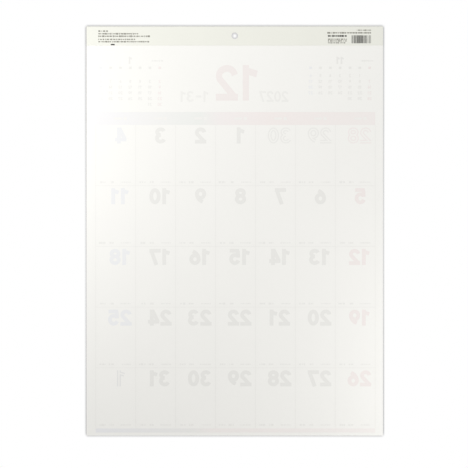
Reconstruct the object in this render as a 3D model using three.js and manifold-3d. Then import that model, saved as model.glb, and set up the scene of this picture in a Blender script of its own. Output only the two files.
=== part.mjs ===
// Hanging wall calendar: a pad of month sheets held along its top edge by a folded card strip, with one hole
// punched through strip and sheets for a nail. Millimetres, +Z up, the printed side towards -Y and the wall
// towards +Y. The origin is the centre of the hanging hole, on the wall side of the card strip.
import * as THREE from "three";
import { mergeVertices } from "three/addons/utils/BufferGeometryUtils.js";
import Module from "manifold-3d";

// Driving dimensions
const calendarWidth = 380;
const calendarHeight = 525;
const stripHeight = 24.5; // from the top fold to the lower edge of either flap
const cardThickness = 0.35;
const sheetCount = 12; // one for each month
const sheetThickness = 0.12;
const holeDiameter = 8.5;
const holeBelowTop = 12.2; // from the top fold down to the centre of the hole
const curlDepth = 4; // how far the free lower edge of the sheets stands out from the wall

// How finely the round forms are drawn
const foldSteps = 16;
const holeSteps = 48;
const curlSteps = 40;

// Places worked out from them
const padThickness = sheetCount * sheetThickness;
const foldRadius = padThickness / 2; // inside the card
const topFold = holeBelowTop;
const stripBottom = topFold - stripHeight;
const sheetBottom = topFold - calendarHeight;
const foldCentre = { y: -cardThickness - foldRadius, z: topFold - cardThickness - foldRadius };
const padBack = -cardThickness; // where the last sheet meets the flap on the wall side
const padFront = padBack - padThickness;

const wasm = await Module();
wasm.setup();

// A section in the Y-Z plane, drawn along X over the calendar's width and centred on the hole.
function drawnAcross(section) {
  const geometry = new THREE.ExtrudeGeometry(section, {
    depth: calendarWidth,
    curveSegments: foldSteps,
    bevelEnabled: false,
  });
  geometry.translate(0, 0, -calendarWidth / 2);
  const alongY = new THREE.Vector3(0, 1, 0);
  const alongZ = new THREE.Vector3(0, 0, 1);
  const alongX = new THREE.Vector3(1, 0, 0);
  return geometry.applyMatrix4(new THREE.Matrix4().makeBasis(alongY, alongZ, alongX));
}

function toSolid(geometry) {
  const bare = geometry.clone();
  bare.deleteAttribute("normal");
  bare.deleteAttribute("uv");
  const merged = mergeVertices(bare, 1e-5);
  return new wasm.Manifold(
    new wasm.Mesh({
      numProp: 3,
      vertProperties: merged.attributes.position.array,
      triVerts: new Uint32Array(merged.index.array),
    }),
  );
}

function toGeometry(solid) {
  const { vertProperties, triVerts } = solid.getMesh();
  const geometry = new THREE.BufferGeometry();
  geometry.setAttribute("position", new THREE.BufferAttribute(vertProperties, 3));
  geometry.setIndex(new THREE.BufferAttribute(triVerts, 1));
  geometry.computeVertexNormals();
  return geometry;
}

// The nail hole goes square through both flaps and every sheet.
function punched(geometry) {
  const punchLength = 4 * (padThickness + 2 * cardThickness);
  const punch = new THREE.CylinderGeometry(holeDiameter / 2, holeDiameter / 2, punchLength, holeSteps);
  return toGeometry(toSolid(geometry).subtract(toSolid(punch)));
}

// One card folded over the sheets: the wall side flap, the round fold and the front flap.
function cardStrip() {
  const outerRadius = foldRadius + cardThickness;
  const section = new THREE.Shape();
  section.moveTo(0, stripBottom);
  section.lineTo(0, foldCentre.z);
  section.absarc(foldCentre.y, foldCentre.z, outerRadius, 0, Math.PI, false);
  section.lineTo(padFront - cardThickness, stripBottom);
  section.lineTo(padFront, stripBottom);
  section.lineTo(padFront, foldCentre.z);
  section.absarc(foldCentre.y, foldCentre.z, foldRadius, Math.PI, 0, true);
  section.lineTo(padBack, stripBottom);
  section.closePath();
  return punched(drawnAcross(section));
}

// The free part of the pad leaves the strip straight down and curls forward on one even curve.
function curlAt(z) {
  const share = (stripBottom - z) / (stripBottom - sheetBottom);
  return share > 0 ? curlDepth * share * share : 0;
}

// All sheets as one solid, from under the fold down to the free lower edge.
function sheetPad() {
  const heights = Array.from(
    { length: curlSteps + 1 },
    (_, i) => stripBottom + ((sheetBottom - stripBottom) * i) / curlSteps,
  );
  const down = heights.map((z) => new THREE.Vector2(padFront - curlAt(z), z));
  const up = heights.map((z) => new THREE.Vector2(padBack - curlAt(z), z)).reverse();
  const top = [new THREE.Vector2(padBack, foldCentre.z), new THREE.Vector2(padFront, foldCentre.z)];
  return punched(drawnAcross(new THREE.Shape([...top, ...down, ...up])));
}

const creamCard = new THREE.MeshStandardMaterial({ color: 0xf0efe4, roughness: 0.85, metalness: 0 });
const whitePaper = new THREE.MeshStandardMaterial({ color: 0xf3f2ee, roughness: 0.8, metalness: 0 });

const headerStrip = new THREE.Mesh(cardStrip(), creamCard);
headerStrip.name = "header_strip";

const monthSheets = new THREE.Mesh(sheetPad(), whitePaper);
monthSheets.name = "month_sheets";

const wallCalendar = new THREE.Group();
wallCalendar.add(headerStrip, monthSheets);

export default wallCalendar;
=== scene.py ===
# A hanging wall calendar seen from behind: a cream card strip with a punched hole over twelve month sheets.
# The December print on the far side of the last sheet shows faintly through the paper.
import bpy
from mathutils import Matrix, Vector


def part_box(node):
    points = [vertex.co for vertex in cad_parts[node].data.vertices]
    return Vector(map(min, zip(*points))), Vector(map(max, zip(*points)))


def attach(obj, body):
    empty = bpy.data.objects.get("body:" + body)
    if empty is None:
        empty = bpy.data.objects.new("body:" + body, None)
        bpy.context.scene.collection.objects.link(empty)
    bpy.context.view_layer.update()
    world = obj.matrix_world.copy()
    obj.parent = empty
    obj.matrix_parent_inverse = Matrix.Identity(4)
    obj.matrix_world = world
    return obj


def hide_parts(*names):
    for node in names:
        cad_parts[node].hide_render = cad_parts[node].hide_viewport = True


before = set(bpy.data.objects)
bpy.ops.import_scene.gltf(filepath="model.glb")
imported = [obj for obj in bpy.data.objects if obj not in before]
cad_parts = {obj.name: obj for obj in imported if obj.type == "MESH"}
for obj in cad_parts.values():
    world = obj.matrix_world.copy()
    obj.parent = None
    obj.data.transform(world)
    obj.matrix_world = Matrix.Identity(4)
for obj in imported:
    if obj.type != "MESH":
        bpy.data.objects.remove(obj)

import calendar
import math
import random

import bpy
from mathutils import Vector
from mathutils.geometry import delaunay_2d_cdt

bpy.ops.object.select_all(action="DESELECT")
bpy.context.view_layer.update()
mm = 0.001

# The calendar as the frame gives it. The wall is towards +Y, the reader towards -Y.
stripLow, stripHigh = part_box("header_strip")
padLow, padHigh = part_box("month_sheets")
sheetWidth = padHigh.x - padLow.x
sheetMiddle = (padLow.x + padHigh.x) / 2
topFold, stripBottom, sheetBottom = stripHigh.z, stripLow.z, padLow.z

view = {
    "distance": 2.6,  # from the camera to the back of the calendar
    "frame": 468,  # pixels on a side
    "sheetPixels": (86.5, 383.0),  # left and right edge of the sheets in the picture
    "topPixel": 26.2,
    "sensor": 36,  # mm
    "farthest": 20,
}

pad = {
    "leaves": 12,
    "cardThickness": 0.35 * mm,
    "leafThickness": 0.1 * mm,  # a little less than its share of the pad, so that leaves stay apart
    "cellsAcross": 38,
    "cellsDown": 52,
    "holeRadius": 4.25 * mm,
    "spread": 1.1 * mm,  # how far the last leaf stands off the pad at its free edge
    "sideLift": 1.5 * mm,  # and how much more at its sides
    "bothSides": 0.7,  # the part of the lift that both sides share, and what one side has more than the other
    "oneSide": 0.3,
    "wave": 0.35 * mm,
    "waveAcross": 2.3,  # how fast the wave runs across and down a leaf, and where it starts
    "waveDown": 2.6,
    "waveStart": 0.6,
    "fan": 1.4,  # above 1, the last leaves part more than the first
    "trim": 0.25 * mm,  # how unevenly the leaves end at the bottom
    "trimSeed": 12,
    "punchLength": 10 * mm,
    "punchSides": 48,
    "smoothAngle": math.radians(30),
}
stripThickness = stripHigh.y - stripLow.y
padThickness = stripThickness - 2 * pad["cardThickness"]
leafPitch = padThickness / pad["leaves"]
curlDepth = padHigh.y - padLow.y - padThickness
padFront = stripLow.y + pad["cardThickness"]
lastLeaf = pad["leaves"] - 1


def hangShare(z):
    # 0 at the lower edge of the strip, 1 at the free edge of the sheets
    return max(0.0, (stripBottom - z) / (stripBottom - sheetBottom))


def leafDepth(index, x, z):
    # Where the middle of a leaf lies between the reader and the wall
    share = hangShare(z)
    side = (x - sheetMiddle) / (sheetWidth / 2)
    order = (index / lastLeaf) ** pad["fan"]
    ripple = math.sin(pad["waveAcross"] * side - pad["waveStart"]) * math.sin(pad["waveDown"] * share)
    sideShare = pad["bothSides"] * side * side - pad["oneSide"] * side
    lift = share**2 * (pad["spread"] + pad["sideLift"] * sideShare)
    lift += share * pad["wave"] * (1 + ripple)
    return padFront + (index + 0.5) * leafPitch - curlDepth * share**2 + order * lift


class Wire:
    # A socket in a node tree. Sums and products of wires add the Math nodes for them.
    def __init__(self, surface, socket):
        self.surface = surface
        self.socket = socket

    def math(self, operation, *values):
        return self.surface.node("ShaderNodeMath", {"operation": operation}, dict(enumerate(values)))

    def __add__(self, other):
        return self.math("ADD", self, other)

    def __radd__(self, other):
        return self.math("ADD", other, self)

    def __sub__(self, other):
        return self.math("SUBTRACT", self, other)

    def __rsub__(self, other):
        return self.math("SUBTRACT", other, self)

    def __mul__(self, other):
        return self.math("MULTIPLY", self, other)

    def __rmul__(self, other):
        return self.math("MULTIPLY", other, self)

    def between(self, low, high):
        # 0 below low and 1 above high, with a smooth step between
        return self.surface.node(
            "ShaderNodeMapRange",
            {"interpolation_type": "SMOOTHSTEP"},
            {"Value": self, "From Min": low, "From Max": high},
        )


class Surface:
    # A material and the one way in which its nodes are added
    gloss = 0.3  # specular level of paper, card and ink

    def __init__(self, name):
        self.material = bpy.data.materials.new(name)
        self.material.use_nodes = True
        self.tree = self.material.node_tree
        self.shader = self.tree.nodes["Principled BSDF"]
        self.output = self.tree.nodes["Material Output"]

    def node(self, kind, settings=None, values=None, out=0):
        made = self.tree.nodes.new(kind)
        for key, setting in (settings or {}).items():
            if key == "stops":
                ramp = made.color_ramp
                while len(ramp.elements) < len(setting):
                    ramp.elements.new(0.5)
                for element, (position, colour) in zip(ramp.elements, setting):
                    element.position = position
                    element.color = (*colour, 1)
            else:
                setattr(made, key, setting)
        for key, value in (values or {}).items():
            self.feed(made.inputs[key], value)
        return Wire(self, made.outputs[out])

    def feed(self, socket, value):
        if isinstance(value, Wire):
            self.tree.links.new(value.socket, socket)
        else:
            socket.default_value = value

    def place(self):
        return self.node("ShaderNodeTexCoord", out="Object")

    def split(self, vector):
        first = self.node("ShaderNodeSeparateXYZ", None, {0: vector})
        return [Wire(self, part) for part in first.socket.node.outputs]

    def noise(self, place, size, detail=3.0, roughness=0.5):
        # size is the width of one patch, in metres
        values = {"Vector": place, "Scale": 1 / size, "Detail": detail, "Roughness": roughness}
        return self.node("ShaderNodeTexNoise", None, values)

    def tinted(self, colour, tone):
        # A colour, or a wire that carries one, made lighter or darker by tone
        return self.node("ShaderNodeVectorMath", {"operation": "SCALE"}, {0: colour, "Scale": tone})

    def mixed(self, share, first, second):
        settings = {"data_type": "RGBA"}
        return self.node("ShaderNodeMix", settings, {0: share, 6: first, 7: second}, out=2)

    def finish(self, colour, roughness, bump=None, depth=0.0):
        self.feed(self.shader.inputs["Base Color"], colour)
        self.feed(self.shader.inputs["Roughness"], roughness)
        self.feed(self.shader.inputs["Specular IOR Level"], self.gloss)
        if bump is not None:
            normal = self.node("ShaderNodeBump", None, {"Height": bump, "Distance": depth, "Strength": 1.0})
            self.feed(self.shader.inputs["Normal"], normal)
        return self.material


def linear(red, green, blue):
    # A colour as a screen shows it, from 0 to 255, as the light it stands for
    def one(value):
        value /= 255
        return value / 12.92 if value <= 0.04045 else ((value + 0.055) / 1.055) ** 2.4

    return (one(red), one(green), one(blue))


def filtered(colour, tint):
    return [a * b for a, b in zip(colour, tint)]


paper = {
    "colour": linear(248, 247, 243),
    "cloud": 45 * mm,  # broad unevenness of the sheet
    "fibre": 1.6 * mm,
    "grain": 0.35 * mm,
    "cloudTone": 0.012,
    "fibreTone": 0.016,
    "grainDepth": 0.012 * mm,
    "roughness": 0.78,
    "fibreRoughness": 0.1,
    "ghostFibre": 2,  # how much more the fibres show where print shows through
}


def paperTone(surface, fibreShare=1):
    # How light the sheet is from place to place, and the fibres that make it so
    place = surface.place()
    cloud = surface.noise(place, paper["cloud"], detail=2)
    fibre = surface.noise(place, paper["fibre"], detail=5, roughness=0.65)
    fibreTone = fibreShare * paper["fibreTone"]
    return 1 + paper["cloudTone"] * (cloud - 0.5) + fibreTone * (fibre - 0.5), fibre


def paperSurface():
    surface = Surface("white paper")
    tone, fibre = paperTone(surface)
    grain = surface.noise(surface.place(), paper["grain"], detail=3, roughness=0.6)
    roughness = paper["roughness"] + paper["fibreRoughness"] * (fibre - 0.5)
    return surface.finish(surface.tinted(paper["colour"], tone), roughness, grain, paper["grainDepth"])


card = {
    "colour": linear(239, 239, 230),
    "cloud": 30 * mm,
    "cloudTone": 0.02,
    "fleckColour": linear(210, 205, 184),
    "fleck": 1.1 * mm,
    "fleckFrom": 0.62,  # where the noise turns into a fleck, and where it is one in full
    "fleckFull": 0.78,
    "fleckShare": 0.22,
    "fleckRoughness": 0.08,
    "grain": 0.3 * mm,
    "grainDepth": 0.02 * mm,
    "foldShadeWidth": 2 * mm,  # how far the painted shade reaches down from the top fold
    "foldShadeTone": 0.05,
    "roughness": 0.82,
}


def cardSurface():
    surface = Surface("cream card")
    place = surface.place()
    height = surface.split(place)[2]
    cloud = surface.noise(place, card["cloud"], detail=2)
    fleck = surface.noise(place, card["fleck"], detail=4, roughness=0.7)
    fleck = fleck.between(card["fleckFrom"], card["fleckFull"])
    # Painted shade: the card is made darker in a band just below the top fold
    foldShade = height.between(topFold - card["foldShadeWidth"], topFold)
    tone = 1 + card["cloudTone"] * (cloud - 0.5) - card["foldShadeTone"] * foldShade
    share = card["fleckShare"] * fleck
    colour = surface.mixed(share, (*card["colour"], 1), (*card["fleckColour"], 1))
    grain = surface.noise(place, card["grain"], detail=4, roughness=0.65)
    roughness = card["roughness"] + card["fleckRoughness"] * fleck
    return surface.finish(surface.tinted(colour, tone), roughness, grain, card["grainDepth"])


inkLook = {
    "speck": 0.6 * mm,  # ink soaks into the paper unevenly
    "speckTone": 0.18,
    "roughness": 0.62,
    "bandSpeck": 0.8 * mm,
    "bandSpeckTone": 0.05,
    "bandRoughness": 0.7,
}


def speckTone(surface, size, depth):
    speck = surface.noise(surface.place(), size, detail=3, roughness=0.7)
    return 1 + depth * (speck - 0.5)


def inkSurface(name, colour):
    surface = Surface(name)
    tone = speckTone(surface, inkLook["speck"], inkLook["speckTone"])
    return surface.finish(surface.tinted(linear(*colour), tone), inkLook["roughness"])


def ghostSurface(name, factor):
    # Print seen through the sheet is the paper itself, a little darker
    surface = Surface(name)
    tone, _ = paperTone(surface, paper["ghostFibre"])
    tint = linear(*(255 * share for share in factor))
    return surface.finish(surface.tinted(filtered(paper["colour"], tint), tone), paper["roughness"])


def bandSurface(name, stops, base):
    # A band runs from one colour to the next across the page
    surface = Surface(name)
    across = surface.split(surface.place())[0]
    share = (across - padLow.x) * (1 / sheetWidth)
    colours = [(position, filtered(linear(*colour), base)) for position, colour in stops]
    colour = surface.node("ShaderNodeValToRGB", {"stops": colours}, {0: share})
    tone = speckTone(surface, inkLook["bandSpeck"], inkLook["bandSpeckTone"])
    return surface.finish(surface.tinted(colour, tone), inkLook["bandRoughness"])


def printSurfaces(inks, looks, ending, single, base=(1, 1, 1)):
    # The bands have several colours, and every other ink has one
    return [
        bandSurface(ink + ending, looks[ink], base)
        if ink in ("band", "foot")
        else single(ink + ending, looks[ink])
        for ink in inks
    ]


# Figures are drawn as strokes in a box one unit high, because the built-in font has no heavy weight
figures = {
    "width": 0.68,
    "oneWidth": 0.51,  # a one takes less room
    "gap": 0.07,
    "heavy": 0.115,  # half the width of a stroke
    "medium": 0.095,
    "inside": 0.04,  # half the width of the gap in an outlined figure
    "waist": 0.53,
    "loopTop": 0.6,  # top of the loop of a six
    "upperShare": 0.93,  # width of an upper bowl, as a share of the lower one
    "arcStep": 15,  # degrees
    "weld": 1e-5,  # points nearer than this are one
}


def figureWidth(figure):
    return figures["oneWidth"] if figure == "1" else figures["width"]


def arc(centre, radii, start, end):
    steps = max(3, round(abs(end - start) / figures["arcStep"]))
    angles = [math.radians(start + (end - start) * i / steps) for i in range(steps + 1)]
    return [(centre[0] + radii[0] * math.cos(a), centre[1] + radii[1] * math.sin(a)) for a in angles]


def ribbon(path, half):
    # The quads of a stroke of even width along a path
    closed = math.dist(path[0], path[-1]) < figures["weld"]
    corners = []
    for i, point in enumerate(path):
        before = path[i - 1] if i else (path[-2] if closed else point)
        after = path[i + 1] if i + 1 < len(path) else (path[1] if closed else point)
        along = Vector((after[0] - before[0], after[1] - before[1])).normalized()
        across = Vector((-along.y, along.x)) * half
        corners.append((Vector(point) + across, Vector(point) - across))
    return [(a[0], a[1], b[1], b[0]) for a, b in zip(corners, corners[1:])]


def figureStrokes(figure, half):
    # The middle line of each stroke, as points in the box
    width, waist, loopTop = figures["width"], figures["waist"], figures["loopTop"]
    middle, bowl = width / 2, width / 2 - half
    top, low = 1 - half, half
    upper, lower = (top + waist) / 2, (waist + low) / 2
    upperBowl, lowerBowl = (bowl * figures["upperShare"], (top - waist) / 2), (bowl, (waist - low) / 2)
    loop = (loopTop + low) / 2
    if figure == "-":
        return [[(0.1, 0.5), (width - 0.1, 0.5)]]
    if figure == "0":
        return [arc((middle, 0.5), (bowl, 0.5 - half), 0, 360)]
    if figure == "1":
        stem = figures["oneWidth"] - 0.03 - half
        return [[(stem, 0), (stem, 1)], [(stem, 0.94 - half), (0.04, 0.84 - half)]]
    if figure == "2":
        bend = arc((middle, top - 0.215), (bowl, 0.215), 172, -22)
        return [bend + [(half * 0.75 + 0.03, low)], [(0, low), (width, low)]]
    if figure == "3":
        return [arc((middle, upper), upperBowl, 160, -90), arc((middle, lower), lowerBowl, 90, -160)]
    if figure == "4":
        stem, bar = width * 0.66, 0.2 + half * 0.4
        slope = [(stem - half * 0.2, 0.97), (half * 0.7, bar)]
        return [[(stem, 0), (stem, 1)], [(0, bar), (width, bar)], slope]
    if figure == "5":
        back = half + 0.03
        bar = [(back - half * 0.6, top), (width - 0.03, top)]
        bend = arc((middle, (0.62 + low) / 2), (bowl, (0.62 - low) / 2), 145, -160)
        return [bar, [(back + 0.02, top), (back - 0.01, 0.46)], bend]
    if figure == "6":
        ring = arc((middle, loop), (bowl, (loopTop - low) / 2), 0, 360)
        arm = arc((width, loop), (width - half, top - loop), 180, 112)
        return [ring, arm]
    if figure == "7":
        return [[(0, top), (width, top)], [(width - half, top), (width * 0.38, 0)]]
    if figure == "8":
        return [arc((middle, upper), upperBowl, 0, 360), arc((middle, lower), lowerBowl, 0, 360)]
    turned = figureStrokes("6", half)  # a nine is a six turned round
    return [[(width - x, 1 - y) for x, y in stroke] for stroke in turned]


def cutFigure(figure, weight, hollow):
    # One clean sheet of triangles for a figure, or for its outline only
    half = figures[weight]
    strokes = figureStrokes(figure, half)
    quads = [quad for stroke in strokes for quad in ribbon(stroke, half)]
    solidCount = len(quads)
    if hollow:
        quads += [quad for stroke in strokes for quad in ribbon(stroke, figures["inside"])]
    points = [corner for quad in quads for corner in quad]
    faces = [tuple(range(4 * i, 4 * i + 4)) for i in range(len(quads))]
    corners, _, cut, _, _, owners = delaunay_2d_cdt(points, [], faces, 1, figures["weld"])
    kept = [
        face
        for face, who in zip(cut, owners)
        if who and min(who) < solidCount and not (hollow and max(who) >= solidCount)
    ]
    return corners, kept


cutFigures = {}


def cutFor(figure, weight, hollow):
    key = (figure, weight, hollow)
    if key not in cutFigures:
        cutFigures[key] = cutFigure(*key)
    return cutFigures[key]


printing = {
    "longestBar": 12 * mm,  # long bars are cut into short ones, so that they follow the sheet
    "rise": 0.02 * mm,  # from the sheet to the ink
    "film": 0.02 * mm,  # thickness of the ink
    "weld": 0.002 * mm,
    "wordLength": (0.6, 2.6),  # shortest and longest, in letters
    "wordHalf": (0.3, 0.5),  # half the height, as a share of the line's
    "wordGap": (0.3, 1.1),
}


class Print:
    # Ink on a page. Places are in metres: across from the middle of the sheet, down from the top fold.
    def __init__(self, inks):
        self.inks = inks  # name of each ink, in the order of the material slots
        self.points = []
        self.faces = []
        self.faceInks = []
        self.layers = []

    def face(self, ink, corners, layer=0):
        start = len(self.points)
        self.points += corners
        self.layers += [layer] * len(corners)
        self.faces.append(tuple(range(start, start + len(corners))))
        self.faceInks.append(self.inks.index(ink))

    def bar(self, ink, left, right, top, bottom, layer=0):
        across = max(1, math.ceil((right - left) / printing["longestBar"]))
        down = max(1, math.ceil((bottom - top) / printing["longestBar"]))
        columns = [left + (right - left) * i / across for i in range(across + 1)]
        rows = [top + (bottom - top) * i / down for i in range(down + 1)]
        for a, b in zip(columns, columns[1:]):
            for c, d in zip(rows, rows[1:]):
                self.face(ink, [(a, d), (b, d), (b, c), (a, c)], layer)

    def figureRow(
        self,
        ink,
        text,
        middle,
        top,
        height,
        weight="heavy",
        hollow=False,
        stretch=1.0,
        gap=figures["gap"],
    ):
        wide = height * stretch
        left = middle - (sum(figureWidth(figure) + gap for figure in text) - gap) * wide / 2
        for figure in text:
            corners, faces = cutFor(figure, weight, hollow)
            places = [(left + corner.x * wide, top + (1 - corner.y) * height) for corner in corners]
            for face in faces:
                self.face(ink, [places[k] for k in face])
            left += (figureWidth(figure) + gap) * wide

    def words(self, ink, left, right, middle, height, chance, letter):
        # Unreadable words: blocks of uneven height and length with gaps between
        at = left
        while at < right:
            length = letter * chance.uniform(*printing["wordLength"])
            if right - at - length < letter:
                length = right - at
            half = height * chance.uniform(*printing["wordHalf"])
            self.bar(ink, at, at + length, middle - half, middle + half)
            at += length + letter * chance.uniform(*printing["wordGap"])

    def lay(self, name, materials, depthAt, outward):
        # outward is 1 on the wall side of a sheet and -1 on the reader's side
        mesh = bpy.data.meshes.new(name)
        places = []
        for (across, down), layer in zip(self.points, self.layers):
            x, z = sheetMiddle + across, topFold - down
            rise = printing["rise"] + layer * 2 * printing["film"]
            places.append((x, depthAt(x, z) + outward * rise, z))
        faces = self.faces if outward < 0 else [face[::-1] for face in self.faces]
        mesh.from_pydata(places, [], faces)
        for material in materials:
            mesh.materials.append(material)
        mesh.polygons.foreach_set("material_index", self.faceInks)
        piece = bpy.data.objects.new(name, mesh)
        bpy.context.scene.collection.objects.link(piece)
        return closeFilm(piece)


def only(piece):
    bpy.ops.object.select_all(action="DESELECT")
    piece.select_set(True)
    bpy.context.view_layer.objects.active = piece


def applyModifier(piece, kind, **settings):
    only(piece)
    bpy.ops.object.modifier_add(type=kind)
    modifier = piece.modifiers[-1]
    for key, value in settings.items():
        setattr(modifier, key, value)
    bpy.ops.object.modifier_apply(modifier=modifier.name)
    return piece


def closeFilm(piece):
    # Flat print gets the thickness of its ink
    only(piece)
    bpy.ops.object.mode_set(mode="EDIT")
    bpy.ops.mesh.select_all(action="SELECT")
    bpy.ops.mesh.remove_doubles(threshold=printing["weld"])
    bpy.ops.object.mode_set(mode="OBJECT")
    return applyModifier(piece, "SOLIDIFY", thickness=printing["film"], offset=1)


def flatLeaf():
    # One punched sheet, still flat
    height = padHigh.z - padLow.z
    bpy.ops.mesh.primitive_grid_add(
        x_subdivisions=pad["cellsAcross"],
        y_subdivisions=pad["cellsDown"],
        size=1,
        location=(sheetMiddle, 0, (padHigh.z + padLow.z) / 2),
        rotation=(math.pi / 2, 0, 0),
    )
    leaf = bpy.context.object
    leaf.scale = (sheetWidth, height, 1)
    bpy.ops.object.transform_apply(location=True, rotation=True, scale=True)
    applyModifier(leaf, "SOLIDIFY", thickness=pad["leafThickness"], offset=0)
    bpy.ops.mesh.primitive_cylinder_add(
        vertices=pad["punchSides"],
        radius=pad["holeRadius"],
        depth=pad["punchLength"],
        rotation=(math.pi / 2, 0, 0),
    )
    punch = bpy.context.object
    applyModifier(leaf, "BOOLEAN", operation="DIFFERENCE", object=punch, solver="EXACT")
    bpy.data.objects.remove(punch)
    return leaf


def hungLeaf(flat, index, chance):
    leaf = flat.copy()
    leaf.data = flat.data.copy()
    bpy.context.scene.collection.objects.link(leaf)
    trim = chance.uniform(0, pad["trim"])
    for vertex in leaf.data.vertices:
        x, y, z = vertex.co
        share = hangShare(z)
        vertex.co = (x, leafDepth(index, x, z) + y, z + trim * share)
    return leaf


def joined(pieces, name):
    only(pieces[0])
    for piece in pieces:
        piece.select_set(True)
    if len(pieces) > 1:
        bpy.ops.object.join()
    whole = bpy.context.view_layer.objects.active
    whole.name = name
    whole.data.name = name
    return whole


def mounted(piece, slot, *replaced):
    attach(piece, "root")
    if replaced:
        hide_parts(*replaced)


# The twelve leaves
chance = random.Random(pad["trimSeed"])
flat = flatLeaf()
leaves = [hungLeaf(flat, i, chance) for i in range(pad["leaves"])]
bpy.data.objects.remove(flat)
groups = {"front_sheet": leaves[:1], "inner_sheets": leaves[1:-1], "back_sheet": leaves[-1:]}
sheetPaper = paperSurface()
for name, group in groups.items():
    sheet = joined(group, name)
    sheet.data.materials.clear()
    sheet.data.materials.append(sheetPaper)
    only(sheet)
    bpy.ops.object.shade_smooth_by_angle(angle=pad["smoothAngle"])
    mounted(sheet, "sheet_paper", "month_sheets")
print("leaves hung:", len(leaves))

# The card strip keeps its solid
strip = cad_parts["header_strip"]
strip.material_slots[0].material = cardSurface()
print("card strip finished")

# The page of a month
page = {
    "shift": -0.9 * mm,  # the print sits a little off the middle of the sheet
    "column": 51.2 * mm,
    "bandTop": 110 * mm,
    "gridTop": 126.5 * mm,
    "rows": 5,  # a sixth week shares the cells of the fifth
    "row": 77.85 * mm,
    "footHeight": 5.2 * mm,
    "rule": 0.35 * mm,
    "dateHeight": 20.6 * mm,
    "dateDrop": 3.2 * mm,
    "dateStretch": 1.03,
    "dateLeft": (6.5 * mm, 5.4 * mm),  # how far a date of one or two figures stands left of its cell's middle
    "sixthRight": 12 * mm,  # a date of the sixth week stands right of the middle
    "sixthShare": 0.6,  # and is this much as high as the others
    "noteRise": 4.5 * mm,  # small words above each rule
    "notes": ((-19.5, -5.5, 1.7), (2.5, 9, 2.7), (13, 21.5, 2.7)),  # from, to and height, in mm
    "noteSlack": 2 * mm,  # how much shorter a note can be
    "noteLetter": 0.55,  # width of a letter, as a share of the note's height
    "labels": ((-8, -4, 4), (-2, 8, 2.6)),  # blocks in the band: from, to and height, in mm
}
title = {
    "top": 49.7 * mm,
    "height": 45.6 * mm,
    "middle": -3 * mm,
    "stretch": 0.91,
    "gap": 0.12,
    "yearMiddle": -50.1 * mm,
    "yearTop": 83 * mm,
    "yearHeight": 14.1 * mm,
    "yearStretch": 0.9,
    "daysMiddle": 51.6 * mm,
}
smallMonth = {
    "middles": (-135.1 * mm, 133.9 * mm),  # last month on the left, next month on the right
    "column": 12.6 * mm,
    "nameTop": 39.1 * mm,
    "nameHeight": 9.2 * mm,
    "wordsRow": 44.34 * mm,
    "words": (-42 * mm, -27.5 * mm),  # from and to, beside the month's number
    "wordsHeight": 2.2 * mm,
    "wordsLetter": 1.5 * mm,
    "initialRow": 53.3 * mm,
    "initialWidth": 3.4 * mm,
    "initialHeight": 3 * mm,
    "firstRow": 63.3 * mm,
    "row": 7.37 * mm,
    "height": 3.9 * mm,
}
week = calendar.Calendar(firstweekday=6)
daysInWeek = 7


def inkOf(column):
    return {0: "sunday", 6: "saturday"}.get(column, "weekday")


def monthAfter(year, month, steps):
    months = year * 12 + month - 1 + steps
    return months // 12, months % 12 + 1


def printSmallMonth(sheet, middle, year, month, chance):
    sheet.figureRow("weekday", str(month), middle, smallMonth["nameTop"], smallMonth["nameHeight"])
    start, end = smallMonth["words"]
    row, tall, letter = smallMonth["wordsRow"], smallMonth["wordsHeight"], smallMonth["wordsLetter"]
    sheet.words("weekday", middle + start, middle + end, row, tall, chance, letter)
    columns = [middle + (i - daysInWeek // 2) * smallMonth["column"] for i in range(daysInWeek)]
    halfWidth, halfHeight = smallMonth["initialWidth"] / 2, smallMonth["initialHeight"] / 2
    row = smallMonth["initialRow"]
    for column, at in enumerate(columns):
        sheet.bar(inkOf(column), at - halfWidth, at + halfWidth, row - halfHeight, row + halfHeight)
    for i, days in enumerate(week.monthdayscalendar(year, month)):
        top = smallMonth["firstRow"] + i * smallMonth["row"] - smallMonth["height"] / 2
        for column, day in enumerate(days):
            if day:
                sheet.figureRow(inkOf(column), str(day), columns[column], top, smallMonth["height"], "medium")


def printTitle(sheet, year, month):
    top, height, stretch = title["top"], title["height"], title["stretch"]
    name = str(month)
    sheet.figureRow("title", name, title["middle"], top, height, "medium", stretch=stretch, gap=title["gap"])
    top, height, stretch = title["yearTop"], title["yearHeight"], title["yearStretch"]
    sheet.figureRow("thin", str(year), title["yearMiddle"], top, height, "medium", stretch=stretch)
    days = f"1-{calendar.monthrange(year, month)[1]}"  # the first and the last day
    sheet.figureRow("thin", days, title["daysMiddle"], top, height, "medium")


def printCell(sheet, day, month, column, middle, top, chance):
    # A date with notes below it. Dates of the months before and after are only outlined.
    inside = day.month == month
    ink = inkOf(column) if inside else "pale" + inkOf(column).capitalize()
    text = str(day.day)
    at = middle - page["dateLeft"][len(text) - 1]
    dateTop, height, stretch = top + page["dateDrop"], page["dateHeight"], page["dateStretch"]
    sheet.figureRow(ink, text, at, dateTop, height, hollow=not inside, stretch=stretch)
    line = top + page["row"] - page["noteRise"]
    for start, end, tall in page["notes"]:
        start, end, tall = middle + start * mm, middle + end * mm, tall * mm
        end -= chance.uniform(0, page["noteSlack"])
        sheet.words("note", start, end, line, tall, chance, page["noteLetter"] * tall)


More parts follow.
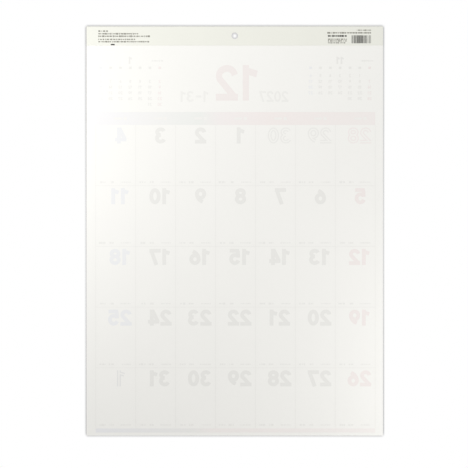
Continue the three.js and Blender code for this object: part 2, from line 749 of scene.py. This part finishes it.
def printGrid(sheet, year, month, chance):
    top, row, rows, rule = page["gridTop"], page["row"], page["rows"], page["rule"]
    left = page["shift"] - daysInWeek / 2 * page["column"]
    right = page["shift"] + daysInWeek / 2 * page["column"]
    bottom = top + rows * row
    middles = [left + (i + 0.5) * page["column"] for i in range(daysInWeek)]
    sheet.bar("band", left, right, page["bandTop"], top)
    sheet.bar("foot", left, right, bottom, bottom + page["footHeight"])
    for i in range(daysInWeek + 1):
        at = left + i * page["column"]
        sheet.bar("rule", at - rule / 2, at + rule / 2, top, bottom, 1)
    for i in range(1, rows):
        at = top + i * row
        sheet.bar("rule", left, right, at - rule / 2, at + rule / 2, 1)
    weeks = week.monthdatescalendar(year, month)
    for i, days in enumerate(weeks[:rows]):
        for column, day in enumerate(days):
            printCell(sheet, day, month, column, middles[column], top + i * row, chance)
    for days in weeks[rows:]:
        for column, day in enumerate(days):
            if day.month == month:
                at, height = middles[column] + page["sixthRight"], page["dateHeight"] * page["sixthShare"]
                sheet.figureRow(inkOf(column), str(day.day), at, bottom - row / 2, height)
    line = (page["bandTop"] + top) / 2
    for middle in middles:
        at = middle - page["dateLeft"][0]
        for start, end, tall in page["labels"]:
            half = tall * mm / 2
            sheet.bar("label", at + start * mm, at + end * mm, line - half, line + half, 1)


def printedMonth(year, month, seed):
    inks = ["weekday", "sunday", "saturday", "paleWeekday", "paleSunday", "paleSaturday"]
    inks += ["title", "thin", "rule", "note", "label", "band", "foot"]
    sheet = Print(inks)
    chance = random.Random(seed)
    printTitle(sheet, year, month)
    for middle, steps in zip(smallMonth["middles"], (-1, 1)):
        printSmallMonth(sheet, middle, *monthAfter(year, month, steps), chance)
    printGrid(sheet, year, month, chance)
    return sheet


# December shows through the back of the last sheet. Each factor is how bright its ink leaves the paper.
showThrough = {
    "weekday": (0.96, 0.96, 0.96),
    "sunday": (0.982, 0.958, 0.962),
    "saturday": (0.967, 0.972, 0.99),
    "paleWeekday": (0.972, 0.972, 0.972),
    "paleSunday": (0.989, 0.971, 0.975),
    "paleSaturday": (0.955, 0.958, 0.965),
    "title": (0.981, 0.96, 0.964),
    "thin": (0.976, 0.976, 0.976),
    "rule": (0.965, 0.965, 0.965),
    "note": (0.966, 0.966, 0.966),
    "label": (0.985, 0.983, 0.984),
    # Bands: the place across the sheet and the tint there
    "band": (
        (0, (252, 248, 249)),
        (0.38, (252, 246, 247)),
        (0.55, (251, 247, 249)),
        (0.62, (246, 248, 248)),
        (0.78, (249, 249, 251)),
        (0.92, (250, 250, 254)),
    ),
    "foot": (
        (0, (252, 248, 249)),
        (0.58, (252, 248, 249)),
        (0.64, (247, 247, 248)),
        (1, (245, 246, 252)),
    ),
}
halfLeaf = pad["leafThickness"] / 2
december = printedMonth(2027, 12, seed=7)
ghosts = printSurfaces(december.inks, showThrough, " showing through", ghostSurface, paper["colour"])
mounted(
    december.lay("december_show_through", ghosts, lambda x, z: leafDepth(lastLeaf, x, z) + halfLeaf, 1),
    "sheet_paper",
)
print("December laid behind")

# January in full colour on the first sheet
redToBlue = ((0, (206, 62, 72)), (0.5, (150, 78, 118)), (1, (62, 92, 166)))
colours = {
    "weekday": (42, 40, 42),
    "sunday": (200, 44, 56),
    "saturday": (38, 84, 160),
    "paleWeekday": (150, 148, 150),
    "paleSunday": (224, 140, 146),
    "paleSaturday": (140, 164, 204),
    "title": (200, 44, 56),
    "thin": (42, 40, 42),
    "rule": (120, 118, 122),
    "note": (96, 94, 98),
    "label": (246, 245, 242),
    "band": redToBlue,
    "foot": redToBlue,
}
january = printedMonth(2027, 1, seed=3)
inks = printSurfaces(january.inks, colours, " ink", inkSurface)
mounted(
    january.lay("january_print", inks, lambda x, z: leafDepth(0, x, z) - halfLeaf, -1),
    "sheet_paper",
)
print("January laid in front")

# Small print on the wall side of the strip. Seen from behind, left is towards +X.
stripPrint = {
    "seed": 5,
    "colours": {"black": (62, 61, 58), "grey": (142, 140, 131)},
    "letter": 1.2 * mm,
    "leftEdge": 174.8 * mm,
    "rightEdge": -174.6 * mm,
    "blockLeft": -119.5 * mm,
    # Lines of words: place below the fold, length and height, in mm
    "leftLines": ((6.3, 12.2, 1.9), (9.7, 51, 2.1), (12.9, 66, 2.2), (16.9, 47, 1.9), (19.9, 65, 1.9)),
    "rightLines": ((5.1, 18, 1.7), (8.5, 56, 2.2)),
    "darkLine": (12.5, 24, 2.6),
    "blockLines": ((16.7, 24, 1.9), (18.9, 24, 1.8), (21.3, 22, 1.6)),
    "mark": (153.9 * mm, 158.9 * mm, 22.7 * mm, 24.45 * mm),  # edges across, then below the fold
    "stripes": (-174.4 * mm, -148.9 * mm),
    "stripesTop": 11.7 * mm,
    "stripesBottom": 21.9 * mm,
    "thinStripe": 0.33 * mm,
    "widest": 3,  # stripes and the gaps between them are one to three thin stripes wide
}


def printedStrip():
    sheet = Print(list(stripPrint["colours"]))
    chance = random.Random(stripPrint["seed"])

    def wordLine(ink, line, right=None):
        # A line ends towards +X at the place given, or else starts at the edge of the text at -X
        down, length, tall = (value * mm for value in line)
        left = stripPrint["rightEdge"] if right is None else right - length
        sheet.words(ink, left, left + length, down, tall, chance, stripPrint["letter"])

    for line in stripPrint["leftLines"]:
        wordLine("grey", line, stripPrint["leftEdge"])
    for line in stripPrint["rightLines"]:
        wordLine("grey", line)
    wordLine("black", stripPrint["darkLine"], stripPrint["blockLeft"])
    for line in stripPrint["blockLines"]:
        wordLine("grey", line, stripPrint["blockLeft"])
    sheet.bar("black", *stripPrint["mark"])
    # A patch of plain stripes
    at, end = stripPrint["stripes"]
    thin, widest = stripPrint["thinStripe"], stripPrint["widest"]
    while at < end:
        wide = thin * chance.randint(1, widest)
        sheet.bar("black", at, min(at + wide, end), stripPrint["stripesTop"], stripPrint["stripesBottom"])
        at += wide + thin * chance.randint(1, widest)
    return sheet


stripInks = [inkSurface(ink + " strip ink", colour) for ink, colour in stripPrint["colours"].items()]
mounted(
    printedStrip().lay("strip_print", stripInks, lambda x, z: stripHigh.y, 1),
    "header_card",
)
print("strip printed")

# The camera looks straight at the back
pixelSize = sheetWidth / (view["sheetPixels"][1] - view["sheetPixels"][0])
centrePixel = view["frame"] / 2
acrossPixels = (view["sheetPixels"][0] + view["sheetPixels"][1]) / 2 - centrePixel
cameraX = sheetMiddle + acrossPixels * pixelSize
cameraZ = topFold - (centrePixel - view["topPixel"]) * pixelSize
cameraPlace = (cameraX, view["distance"], cameraZ)
bpy.ops.object.camera_add(location=cameraPlace, rotation=(math.pi / 2, 0, math.pi))
camera = bpy.context.object
camera.data.sensor_width = view["sensor"]
camera.data.sensor_height = view["sensor"]
camera.data.lens = view["sensor"] * view["distance"] / (view["frame"] * pixelSize)
camera.data.clip_end = view["farthest"]
bpy.context.scene.camera = camera

lights = {
    # place, aim, size in metres, watts
    "left": ((0.5, 0.3, -0.1), (0, 0, -0.25), 0.2, 1.05),
    "lower_right": ((-0.5, 0.2, -0.5), (0, 0, -0.25), 0.2, 0.89),
    "above": ((0, 0.6, 0.5), (0, 0, -0.25), 0.3, 2.14),
    "reader_left": ((-1.1, -1.5, 0.6), (0, 0, -0.2), 0.8, 13),
    "reader_right": ((1.2, -1.4, -0.2), (0, 0, -0.3), 0.8, 6),
}
for name, (place, aim, size, watts) in lights.items():
    bpy.ops.object.light_add(type="AREA", location=place)
    lamp = bpy.context.object
    lamp.name = name
    lamp.data.size = size
    lamp.data.energy = watts
    lamp.visible_camera = False
    lamp.rotation_euler = (Vector(aim) - Vector(place)).to_track_quat("-Z", "Y").to_euler()


def seenAs(surface):
    # 1 for the rays that look at the surroundings rather than light the calendar
    path = surface.node("ShaderNodeLightPath")
    outputs = path.socket.node.outputs
    names = ("Is Camera Ray", "Is Glossy Ray", "Is Transmission Ray")
    direct, glossy, through = [Wire(surface, outputs[name]) for name in names]
    return through.math("MAXIMUM", through, direct.math("MAXIMUM", direct, glossy))


class Sky(Surface):
    # The surroundings, whose nodes are added in the same way
    def __init__(self):
        self.material = bpy.data.worlds.new("studio")
        self.material.use_nodes = True
        self.tree = self.material.node_tree
        self.shader = self.tree.nodes["Background"]


sky = Sky()
ambient = {"light": 0.55, "seen": 1.0}
strength = ambient["light"] + (ambient["seen"] - ambient["light"]) * seenAs(sky)
sky.feed(sky.shader.inputs["Strength"], strength)
sky.shader.inputs["Color"].default_value = (1, 1, 1, 1)
bpy.context.scene.world = sky.material

floor = {
    "below": 0.45,  # under the free edge of the sheets
    "size": 1.8,
    "sides": 96,
    "colour": linear(240, 240, 238),
    "cloud": 0.2,
    "cloudTone": 0.01,
    "roughness": 0.9,
}


def makeFloor():
    bpy.ops.mesh.primitive_circle_add(
        vertices=floor["sides"],
        radius=floor["size"] / 2,
        fill_type="NGON",
        location=(0, 0, sheetBottom - floor["below"]),
    )
    ground = bpy.context.object
    ground.name = "floor"
    surface = Surface("pale floor")
    cloud = surface.noise(surface.place(), floor["cloud"], detail=2)
    tone = 1 + floor["cloudTone"] * (cloud - 0.5)
    colour = surface.tinted(floor["colour"], tone)
    ground.data.materials.append(surface.finish(colour, floor["roughness"]))


board = {
    "gap": 0.3 * mm,
    "size": 2.4,
    "reach": 3.5 * mm,  # how far the painted shadow beside the sheets reaches
    "samples": 16,
    "shade": 1.3,
    "darkest": 0.4,
    "lowShare": 0.75,  # the painted shadow below the sheets is this much as dark as at the other edges
    "lowFade": 5 * mm,
    "holeShade": 0.9,
    "holeReach": (6 * mm, 12 * mm),  # the painted shadow in the hole ends between these distances from its centre
}


def makeBoard():
    # A white board against the printed side. Only the camera sees it, and only from behind the calendar. Its
    # glow is darkened near the calendar by ambient occlusion, a painted shadow.
    topY, lowY = stripLow.y - board["gap"], padLow.y - board["gap"]
    lean = math.atan2(topY - lowY, topFold - sheetBottom)
    middle = sheetBottom - floor["below"] + board["size"] / 2
    bpy.ops.mesh.primitive_plane_add(size=board["size"])
    plane = bpy.context.object
    plane.name = "board"
    plane.rotation_euler = (math.pi / 2 + lean, 0, math.pi)
    plane.location = (0, lowY + (middle - sheetBottom) * math.tan(lean), middle)
    surface = Surface("white board")
    reach = {"Distance": board["reach"]}
    near = surface.node("ShaderNodeAmbientOcclusion", {"samples": board["samples"]}, reach, "AO")
    paintedShadow = near.math("MINIMUM", 1 - near, board["darkest"])
    place = surface.place()
    hole = (0, -middle / math.cos(lean), 0)
    away = surface.node("ShaderNodeVectorMath", {"operation": "DISTANCE"}, {0: place, 1: hole}, 1)
    beyond = away.between(*board["holeReach"])
    shade = board["holeShade"] + (board["shade"] - board["holeShade"]) * beyond
    sheetEnd = (sheetBottom - middle) / math.cos(lean)
    above = surface.split(place)[1].between(sheetEnd, sheetEnd + board["lowFade"])
    shade = shade * (board["lowShare"] + (1 - board["lowShare"]) * above)
    # Painted shadow: the board's glow is dimmed where the calendar is near
    light = surface.node("ShaderNodeEmission", None, {"Strength": 1 - shade * paintedShadow})
    clear = surface.node("ShaderNodeBsdfTransparent")
    behind = surface.node("ShaderNodeNewGeometry", out="Backfacing")
    both = surface.node("ShaderNodeMixShader", None, {0: behind, 1: light, 2: clear})
    surface.feed(surface.output.inputs["Surface"], both)
    surface.tree.nodes.remove(surface.shader)
    plane.data.materials.append(surface.material)
    for ray in ("diffuse", "glossy", "transmission", "volume_scatter", "shadow"):
        setattr(plane, "visible_" + ray, False)


makeFloor()
makeBoard()
bpy.context.scene.view_settings.view_transform = "Standard"
print("studio set")

bpy.context.view_layer.update()
